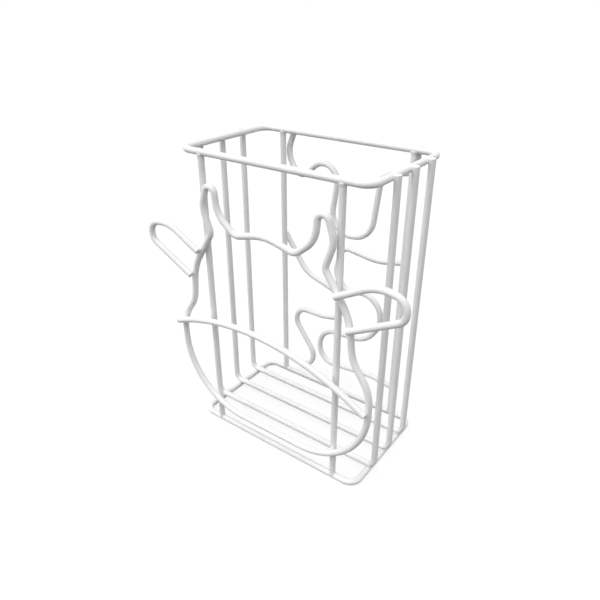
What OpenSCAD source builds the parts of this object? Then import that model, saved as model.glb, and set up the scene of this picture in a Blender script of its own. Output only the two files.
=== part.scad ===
// Wire umbrella stand: two rims, four posts, three U-shaped side wires,
// three bent waves at the back and a cow's head of wire at the front.
// Z is up, the floor is z = 0, the front is -Y, all sizes in millimetres.

/* [Rims] */
// Outer length of both rims, left to right
rim_len = 232; // [215:1:260]
// Distance between the axes of a rim's front and back sides
rim_width = 135; // [120:1:160]
// Height from the base rim's axis to the top rim's axis
rim_rise = 338.5; // [310:0.5:380]
// Bend radius of the rims' corners, at the wire's axis
corner_bend = 13; // [10:1:20]
// Diameter of the top rim's wire
top_wire = 7; // [6:0.5:9]
// Diameter of the base rim's wire
base_wire = 7; // [6:0.5:8]

/* [Posts and side wires] */
// Diameter of the posts, side wires, waves and front figure
wire = 7; // [6:0.5:7.5]
// Distance between the axes of a left and a right post
post_gap = 169; // [160:1:180]
// Distance between neighbouring side wires, from axis to axis
side_pitch = 34.5; // [25:0.5:42]
// Bend radius of the side wires at the floor, at the axis
side_bend = 10; // [8:0.5:14]
// How far the wires welded outside the top rim stand above it
wire_proud = 0; // [0:0.5:4]
// Radius of the rounding on the wires' cut ends
tip_round = 1; // [0.5:0.25:2]

/* [Welds] */
// How far two crossing wires sink into each other
weld_sink = 0.6; // [0.4:0.1:0.9]
// How far the weld bead at a post's end spreads along the rim
bead_width = 0.7; // [0.5:0.1:1.4]
// How far that bead climbs up the post
bead_height = 1.25; // [0.75:0.25:3]

/* [Front figure] */
// Width of the cow's muzzle between the wire's axes
muzzle_width = 255; // [245:1:270]
// Height of the chin's axis above the floor
chin_rise = 29; // [20:0.5:35]

/* [Hidden] */

// Sides of a wire's section, and of a full circle of a bend
section_sides = 32;
bend_sides = 96;

// Right-angled bends meet their straights face to face. At any other angle a bend is
// this much fatter than its straights, which reach this far into it.
bend_swell = 0.05;
bend_lap = 0.05;

// The most of a leg that the bends at its two ends may take between them
leg_share = 0.99;

wire_r = wire / 2;
top_r = top_wire / 2;
base_r = base_wire / 2;

// Axes of the rims
base_z = base_r;
top_z = base_z + rim_rise;
rim_y = rim_width / 2;
top_x = rim_len / 2 - top_r;
base_x = rim_len / 2 - base_r;
wire_top = top_z + top_r + wire_proud;

// Posts stand on the rims' axes
post_x = post_gap / 2;

// Side wires lie against the top rim's ends, and their bends rest on the base rim
side_x = top_x + top_r + wire_r - weld_sink;
bend_to_rim = side_bend + wire_r + base_r - weld_sink;
floor_z = base_z + sqrt(pow(bend_to_rim, 2) - pow(side_x - side_bend - base_x, 2)) - side_bend;

// Planes of the wires laid against the posts, the top rim and each other
on_post = rim_y + wire_r + wire_r - weld_sink;
on_top_rim = rim_y + top_r + wire_r - weld_sink;
on_figure = on_post + wire - weld_sink;

// Sizes for which the waves and the figure are drawn
drawn_rise = 338.5;
drawn_gap = 169;
drawn_muzzle = 255;

rise_share = rim_rise / drawn_rise;
post_share = post_gap / drawn_gap;
muzzle_share = muzzle_width / drawn_muzzle;

// The top wave's left leg slants, which raises one edge of its cut end above the axis
cut_edge = 1.25;
slanting_end = -cut_edge / rise_share;

// Each point of a bent wire is [x, z, bend radius], with z from the base rim's axis.
// The top wave hangs from the top rim, so its z is counted from the wires' top ends.
wave_top_points = [
    [-71, slanting_end], [-83.5, -31.5, 28], [-64, -60.5, 12], [-26.5, -26, 19], [-10.5, -51.5, 18],
    [-20.5, -120, 25], [37, -114.5, 27.5], [46, -36.5, 16], [86, -28, 12], [86, 0]
];

wave_right_points = [
    [87, 210], [47.5, 202.5, 70], [-1.5, 209.5, 13], [-9.5, 169.5, 22], [9.5, 150, 14], [57, 162, 26],
    [57, 116, 20], [39, 87.5, 36], [-29.5, 84.5, 26], [-31, 32, 21], [50.5, 40, 80], [87, 33.5]
];

wave_left_points = [
    [-87, 208], [-54.5, 160.5, 40], [2.5, 142.5, 17], [0.5, 108.5, 17], [-29.5, 103, 60],
    [-86.5, 103.5, 17.5], [-11, -2, 20], [-88, 21.5]
];

// Right half of the head, from the horn's root to the chin
head_half_points = [
    [38, 261, 14], [61, 280, 30], [66, 331, 6.5], [82, 284, 26], [72, 256, 9],
    [101, 212, 70], [106, 168, 40], [127.5, 137, 50], [127.5, 25.5, 86]
];

poll_point = [0, 270.5, 60];

ear_points = [
    [87.5, 233.5], [132, 258, 42], [160, 251.5, 14], [160, 232, 11.5], [102, 201.5]
];

muzzle_points = [
    [-132.5, 133], [2, 186.5, 280], [127, 113]
];

function stretched(points, x_share, z_share, lift = 0) = [
    for (p = points)
        [p.x * x_share, p.y * z_share + lift, is_undef(p.z) ? 0 : p.z * min(x_share, z_share)]
];

function mirrored(points) = [
    for (i = [len(points) - 1 : -1 : 0]) [-points[i].x, points[i].y, points[i].z]
];

wave_top_path = stretched(wave_top_points, post_share, rise_share, wire_top);
wave_right_path = stretched(wave_right_points, post_share, rise_share, base_z);
wave_left_path = stretched(wave_left_points, post_share, rise_share, base_z);

// The figure is lifted until the chin, the last point of the head's half, is at its own height
figure_lift = chin_rise - head_half_points[len(head_half_points) - 1].y * rise_share;
ear_path = stretched(ear_points, muzzle_share, rise_share, figure_lift);
muzzle_path = stretched(muzzle_points, muzzle_share, rise_share, figure_lift);
head_path = stretched(
    concat([poll_point], head_half_points, mirrored(head_half_points)),
    muzzle_share, rise_share, figure_lift
);

// Signed angle through which a path turns at b, on its way from a to c
function turn(a, b, c) = atan2(cross(b - a, c - b), (b - a) * (c - b));

function flat(p) = [p.x, p.y];
function heading(a, b) = atan2(b.y - a.y, b.x - a.x);

// The point i of a path, counted round and round
function at(path, i) = path[(i + len(path)) % len(path)];

// Length of the leg from point i to the next
function leg(path, i) = norm(flat(at(path, i + 1)) - flat(at(path, i)));

// Length that the bend at point i would take from both its legs at its full radius
function full_take(path, i) =
    at(path, i).z == 0 ? 0 :
    at(path, i).z * tan(abs(turn(flat(at(path, i - 1)), flat(at(path, i)), flat(at(path, i + 1)))) / 2);

// Bends too wide for the leg between them are tightened until they fit
function tightened(path, i) = min(
    1,
    leg_share * leg(path, i - 1) / (full_take(path, i - 1) + full_take(path, i)),
    leg_share * leg(path, i) / (full_take(path, i) + full_take(path, i + 1))
);

function bend_radius(path, i) = path[i].z * tightened(path, i);

// Distance along a leg from point i to where its straight ends
function straight_end(path, i, lap) =
    at(path, i).z == 0 ? 0 : full_take(path, i) * tightened(path, i) - lap;

module rod(length, r) {
    cylinder(h = length, r = r, $fn = section_sides);
}

// A rod whose far end is rounded, at most as far as leaves half of the end flat
module tip_rod(length, r) {
    rounding = min(tip_round, r / 2);
    rotate_extrude($fn = section_sides)
        union() {
            square([r, length - rounding]);
            square([r - rounding, length]);
            translate([r - rounding, length - rounding])
                circle(r = rounding, $fn = section_sides);
        }
}

// The straight stretch from point i to its neighbour j, rounded at j if j is a cut end
module straight(path, i, j, r, lap) {
    a = flat(at(path, i));
    b = flat(at(path, j));
    length = norm(b - a) - straight_end(path, i, lap) - straight_end(path, j, lap);
    translate(a)
        rotate(heading(a, b))
            translate([straight_end(path, i, lap), 0, 0])
                rotate([0, 90, 0])
                    if (at(path, j).z == 0) {
                        tip_rod(length, r);
                    } else {
                        rod(length, r);
                    }
}

// The bend at point i
module bend(path, i, r) {
    a = flat(at(path, i - 1));
    b = flat(at(path, i));
    angle = turn(a, b, flat(at(path, i + 1)));
    translate(b)
        rotate(heading(a, b))
            translate([-straight_end(path, i, 0), 0, 0])
                mirror([0, angle < 0 ? 1 : 0, 0])
                    translate([0, bend_radius(path, i), 0])
                        rotate(-90)
                            rotate_extrude(angle = abs(angle), $fn = bend_sides)
                                translate([bend_radius(path, i), 0])
                                    circle(r = r, $fn = section_sides);
}

// A wire bent in the XY plane
module bent_wire(path, r, closed = false, square = false) {
    last = len(path) - 1;
    for (i = [0 : closed ? last : last - 1]) {
        if (at(path, i).z == 0) {
            straight(path, i + 1, i, r, square ? 0 : bend_lap);
        } else {
            straight(path, i, i + 1, r, square ? 0 : bend_lap);
        }
    }
    for (i = [closed ? 0 : 1 : closed ? last : last - 1]) {
        bend(path, i, square ? r : r + bend_swell);
    }
}

// The same, standing upright at a distance y from the middle
module upright_wire(path, y, r, closed = false, square = false) {
    translate([0, y, 0])
        rotate([90, 0, 0])
            bent_wire(path, r, closed, square);
}

module rim(half_length, z, r) {
    path = [
        [-half_length, -rim_y, corner_bend],
        [half_length, -rim_y, corner_bend],
        [half_length, rim_y, corner_bend],
        [-half_length, rim_y, corner_bend]
    ];
    translate([0, 0, z])
        bent_wire(path, r, closed = true, square = true);
}

// The long side of a rim alone, as far as the posts and waves touch it
module rim_side(side, z, r) {
    reach = post_x + 2 * wire;
    translate([-reach, side * rim_y, z])
        rotate([0, 90, 0])
            rod(2 * reach, r);
}

module top_rim() {
    color("white")
        rim(top_x, top_z, top_r);
}

module base_rim() {
    color("white")
        rim(base_x, base_z, base_r);
}

// A post whose ends are cut to seat on the rims
module post(x_side, y_side) {
    color("white")
        difference() {
            translate([x_side * post_x, y_side * rim_y, base_z])
                rod(top_z - base_z, wire_r);
            rim_side(y_side, base_z, base_r);
            rim_side(y_side, top_z, top_r);
        }
}

module front_post_left() {
    post(-1, -1);
}

module front_post_right() {
    post(1, -1);
}

module back_post_left() {
    post(-1, 1);
}

module back_post_right() {
    post(1, 1);
}

// A side wire goes down one end of the basket, across the floor and up the other end
module side_wire(place) {
    path = [
        [-side_x, wire_top, 0],
        [-side_x, floor_z, side_bend],
        [side_x, floor_z, side_bend],
        [side_x, wire_top, 0]
    ];
    color("white")
        difference() {
            upright_wire(path, place * side_pitch, wire_r, square = true);
            rim(top_x, top_z, top_r);
            rim(base_x, base_z, base_r);
        }
}

module side_wire_front() {
    side_wire(-1);
}

module side_wire_middle() {
    side_wire(0);
}

module side_wire_back() {
    side_wire(1);
}

// A wave in the plane y, seated on the back posts
module wave_on_posts(path, y) {
    color("white")
        difference() {
            upright_wire(path, y, wire_r);
            for (side = [-1, 1]) {
                translate([side * post_x, rim_y, base_z])
                    rod(top_z - base_z, wire_r);
            }
        }
}

module back_wave_top() {
    color("white")
        difference() {
            wave_on_posts(wave_top_path, on_top_rim);
            rim_side(1, top_z, top_r);
        }
}

module back_wave_right() {
    wave_on_posts(wave_right_path, on_post);
}

module back_wave_left() {
    wave_on_posts(wave_left_path, on_post);
}

module head_wire() {
    upright_wire(head_path, -on_post, wire_r, closed = true);
}

module head_outline() {
    color("white")
        difference() {
            head_wire();
            for (side = [-1, 1]) {
                translate([side * post_x, -rim_y, base_z])
                    rod(top_z - base_z, wire_r);
            }
        }
}

// A wire of the face, seated on the head's outline
module face_wire(path) {
    color("white")
        difference() {
            upright_wire(path, -on_figure, wire_r);
            head_wire();
        }
}

module ear_left() {
    face_wire(mirrored(ear_path));
}

module ear_right() {
    face_wire(ear_path);
}

module muzzle_line() {
    face_wire(muzzle_path);
}

// Tapered weld beads round the ends of the four posts, against one rim
module weld_beads(rim_z, rim_r, up) {
    root = rim_r - wire_r / 2;
    color("white")
        difference() {
            for (x_side = [-1, 1], y_side = [-1, 1]) {
                translate([x_side * post_x, y_side * rim_y, rim_z])
                    mirror([0, 0, up ? 0 : 1])
                        translate([0, 0, root])
                            cylinder(
                                h = rim_r - root + bead_height,
                                r1 = wire_r + bead_width,
                                r2 = wire_r + bead_width / 4,
                                $fn = section_sides
                            );
            }
            for (x_side = [-1, 1], y_side = [-1, 1]) {
                translate([x_side * post_x, y_side * rim_y, base_z])
                    rod(top_z - base_z, wire_r);
            }
            for (y_side = [-1, 1]) {
                rim_side(y_side, rim_z, rim_r);
            }
        }
}

module top_weld_beads() {
    weld_beads(top_z, top_r, up = false);
}

module base_weld_beads() {
    weld_beads(base_z, base_r, up = true);
}

top_rim();
base_rim();
front_post_left();
front_post_right();
back_post_left();
back_post_right();
side_wire_front();
side_wire_middle();
side_wire_back();
back_wave_top();
back_wave_right();
back_wave_left();
head_outline();
ear_left();
ear_right();
muzzle_line();
top_weld_beads();
base_weld_beads();
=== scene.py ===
# Wire umbrella stand, dressed on its packed construction model.
# Z is up, the floor is z = 0, the front is -Y, all lengths are in metres.
import math

import bmesh
import bpy
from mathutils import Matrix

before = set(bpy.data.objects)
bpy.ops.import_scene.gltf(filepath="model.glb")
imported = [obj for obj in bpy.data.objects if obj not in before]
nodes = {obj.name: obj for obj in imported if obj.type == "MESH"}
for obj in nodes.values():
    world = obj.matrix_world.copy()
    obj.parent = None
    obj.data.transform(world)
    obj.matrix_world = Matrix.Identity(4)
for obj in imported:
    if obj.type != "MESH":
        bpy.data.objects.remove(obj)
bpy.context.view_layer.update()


# ---------------------------------------------------------------- rims
# The rims are closed rectangles of 7 mm steel wire, bent, butt-welded and powder-coated white.
# The powder melts in the oven into a smooth satin skin, with a faint orange-peel waviness and
# soft pools where it ran together.
def linear(code):
    """A colour written as sRGB hex, as the linear values that shaders take."""
    channels = [int(code[i:i + 2], 16) / 255 for i in (1, 3, 5)]
    return [c / 12.92 if c <= 0.04045 else ((c + 0.055) / 1.055) ** 2.4 for c in channels] + [1.0]


def add_node(tree, kind, settings=None, links=None):
    """Adds a node, sets its attributes and sockets, and links outputs of others to its inputs."""
    made = tree.nodes.new("ShaderNode" + kind)
    for name, value in (settings or {}).items():
        if name in made.inputs:
            made.inputs[name].default_value = value
        else:
            setattr(made, name, value)
    for name, source in (links or {}).items():
        tree.links.new(source, made.inputs[name])
    return made


film_patch = 0.022
film_thin_at = 0.30
film_thick_at = 0.70
thin_film_white = "#F4F4F4"
thick_film_white = "#F9F9F9"
film_glossy = 0.42
film_satin = 0.50
peel_size = 0.002
peel_depth = 0.00015
peel_strength = 0.6


def powder_coat(name, offset):
    """White polyester powder on steel: satin, non-metallic, IOR of a polymer film."""
    material = bpy.data.materials.new(name)
    material.use_nodes = True
    tree = material.node_tree
    tree.nodes.clear()
    place = add_node(tree, "TexCoord").outputs["Object"]
    shifted = add_node(tree, "Mapping", {"Location": offset}, {"Vector": place}).outputs["Vector"]
    # the film is thicker and thinner in patches of about 22 mm, which tints the white slightly
    film = add_node(
        tree, "TexNoise",
        {"Scale": 1 / film_patch, "Detail": 3.0, "Roughness": 0.55},
        {"Vector": shifted},
    )
    tint = add_node(tree, "ValToRGB", links={"Fac": film.outputs["Fac"]})
    thin, thick = tint.color_ramp.elements
    thin.position, thin.color = film_thin_at, linear(thin_film_white)
    thick.position, thick.color = film_thick_at, linear(thick_film_white)
    # the orange peel is about 2 mm wide, and drawn deeper than it is so that it shows close up
    peel = add_node(tree, "TexNoise", {"Scale": 1 / peel_size, "Detail": 2.0}, {"Vector": shifted})
    dents = add_node(
        tree, "Bump",
        {"Strength": peel_strength, "Distance": peel_depth},
        {"Height": peel.outputs["Fac"]},
    )
    # the same film is a little glossier where it is thin, and satin where it is thick
    gloss = add_node(
        tree, "MapRange",
        {
            "From Min": film_thin_at, "From Max": film_thick_at,
            "To Min": film_glossy, "To Max": film_satin,
        },
        {"Value": film.outputs["Fac"]},
    )
    coat = add_node(
        tree, "BsdfPrincipled",
        {"IOR": 1.5, "Metallic": 0.0, "Specular IOR Level": 0.5},
        {
            "Base Color": tint.outputs["Color"],
            "Roughness": gloss.outputs["Result"],
            "Normal": dents.outputs["Normal"],
        },
    )
    add_node(tree, "OutputMaterial", links={"Surface": coat.outputs["BSDF"]})
    return material


def coat_wires(material, *names):
    """Gives the finish to the material slots of the construction wires."""
    for name in names:
        wire = nodes[name]
        if not wire.material_slots:
            wire.data.materials.append(material)
        for holder in wire.material_slots:
            holder.material = material


rim_coat = powder_coat("white powder-coated steel rim wire", (0.0, 0.0, 0.0))
coat_wires(rim_coat, "top_rim", "base_rim")


# ---------------------------------------------------------------- posts and side wires
# Four straight posts are butted between the rims, and three U-shaped wires carry umbrellas' tips.
# All are 7 mm mild steel wire under the same powder coat.
basket_coat = powder_coat("white powder-coated steel basket wire", (0.13, 0.29, 0.41))
coat_wires(
    basket_coat,
    "front_post_left", "front_post_right", "back_post_left", "back_post_right",
    "side_wire_front", "side_wire_middle", "side_wire_back",
)


# ---------------------------------------------------------------- waves at the back
# Three lengths of 7 mm mild steel wire, bent into loose waves on a pin jig.
# They are welded behind the top rim and to the back posts, and coated with the rest.
wave_coat = powder_coat("white powder-coated steel wave wire", (0.57, 0.11, 0.23))
coat_wires(wave_coat, "back_wave_top", "back_wave_right", "back_wave_left")


# ---------------------------------------------------------------- cow's head
# The head's closed outline, the two ears and the muzzle line are bent from the same 7 mm wire.
# The ears and the muzzle line lie over the outline and are welded to it from behind.
head_coat = powder_coat("white powder-coated steel figure wire", (0.31, 0.67, 0.07))
coat_wires(head_coat, "head_outline", "ear_left", "ear_right", "muzzle_line")


# ---------------------------------------------------------------- weld beads
# Small fillets of steel, left where the posts' ends were welded to the two rims.
# The powder runs over them, so they are as white as the wires.
bead_coat = powder_coat("white powder-coated weld bead", (0.71, 0.43, 0.19))
coat_wires(bead_coat, "top_weld_beads", "base_weld_beads")


# ---------------------------------------------------------------- floor and studio
# A matt floor in a white studio, with soft lights above the front left and the front right.
# Camera and reflections see it as white, but the floor throws little light back up, so that
# the undersides of the wires stay darker than their tops.
def seen_as(tree, plain, white):
    """Mixes two shaders: the white one for camera, glossy and transmission rays."""
    ray = add_node(tree, "LightPath").outputs
    viewer = ray["Is Camera Ray"]
    for other in ("Is Glossy Ray", "Is Transmission Ray"):
        either = add_node(tree, "Math", {"operation": "MAXIMUM"})
        tree.links.new(viewer, either.inputs[0])
        tree.links.new(ray[other], either.inputs[1])
        viewer = either.outputs[0]
    mix = add_node(tree, "MixShader", links={"Fac": viewer})
    tree.links.new(plain, mix.inputs[1])
    tree.links.new(white, mix.inputs[2])
    return mix.outputs[0]


def add_sun(name, strength, tilt, side, spread):
    """A distant soft light: its tilt from overhead and its side, counted from +X, in degrees."""
    lamp = bpy.data.lights.new(name, "SUN")
    lamp.energy = strength
    lamp.angle = math.radians(spread)
    holder = bpy.data.objects.new(name, lamp)
    holder.rotation_euler = (0.0, math.radians(tilt), math.radians(side))
    bpy.context.collection.objects.link(holder)


# what the camera sees of the floor is part glow and part grey paint, which takes the shadow
room_light = 0.70
floor_grey = 0.03
floor_shadow_grey = 0.2
floor_glow_white = 0.82
floor_reach = 40.0
studio_white = (1.0, 1.0, 1.0, 1.0)

floor_mesh = bpy.data.meshes.new("studio_floor")
floor_shape = bmesh.new()
bmesh.ops.create_grid(floor_shape, x_segments=1, y_segments=1, size=floor_reach)
floor_shape.to_mesh(floor_mesh)
floor_shape.free()
floor = bpy.data.objects.new("studio_floor", floor_mesh)
bpy.context.collection.objects.link(floor)

floor_paint = bpy.data.materials.new("matt studio floor")
floor_paint.use_nodes = True
floor_tree = floor_paint.node_tree
floor_tree.nodes.clear()
floor_body = add_node(floor_tree, "BsdfDiffuse", {"Color": [floor_grey] * 3 + [1.0]})
floor_shade = add_node(floor_tree, "BsdfDiffuse", {"Color": [floor_shadow_grey] * 3 + [1.0]})
floor_glow = add_node(
    floor_tree, "Emission", {"Color": studio_white, "Strength": floor_glow_white}
)
floor_lit = add_node(floor_tree, "AddShader")
floor_tree.links.new(floor_shade.outputs[0], floor_lit.inputs[0])
floor_tree.links.new(floor_glow.outputs[0], floor_lit.inputs[1])
floor_seen = seen_as(floor_tree, floor_body.outputs[0], floor_lit.outputs[0])
add_node(floor_tree, "OutputMaterial", links={"Surface": floor_seen})
floor_mesh.materials.append(floor_paint)

world = bpy.data.worlds.new("studio")
bpy.context.scene.world = world
world.use_nodes = True
world_tree = world.node_tree
world_tree.nodes.clear()
soft_sky = add_node(world_tree, "Background", {"Color": studio_white, "Strength": room_light})
white_sky = add_node(world_tree, "Background", {"Color": studio_white, "Strength": 1.0})
sky_seen = seen_as(world_tree, soft_sky.outputs[0], white_sky.outputs[0])
add_node(world_tree, "OutputWorld", links={"Surface": sky_seen})

front_left = 225.0
front_right = 315.0
high_tilt = 33.0
low_tilt = 78.0
soft_spread = 30.0
add_sun("key", strength=0.94, tilt=high_tilt, side=front_left, spread=soft_spread)
add_sun("low key", strength=0.53, tilt=low_tilt, side=front_left, spread=soft_spread)
add_sun("right fill", strength=0.63, tilt=high_tilt, side=front_right, spread=soft_spread)


# ---------------------------------------------------------------- camera
# Above and to the right of the front, 0.74 m from the foot's middle, with a slightly wide lens.
# It looks down at the stand, so that the mouth, the waves and the floor bars all show.
azimuth = math.radians(36.32)
elevation = math.radians(28.38)
lens_mm = 33.44
sensor_mm = 36.0
eye = (0.32817, -0.46055, 0.47665)
camera_data = bpy.data.cameras.new("camera")
camera_data.lens = lens_mm
camera_data.sensor_width = sensor_mm
camera = bpy.data.objects.new("camera", camera_data)
camera.location = eye
camera.rotation_euler = (math.pi / 2 - elevation, 0.0, azimuth)
bpy.context.collection.objects.link(camera)
bpy.context.scene.camera = camera

bpy.context.scene.view_settings.view_transform = "Standard"
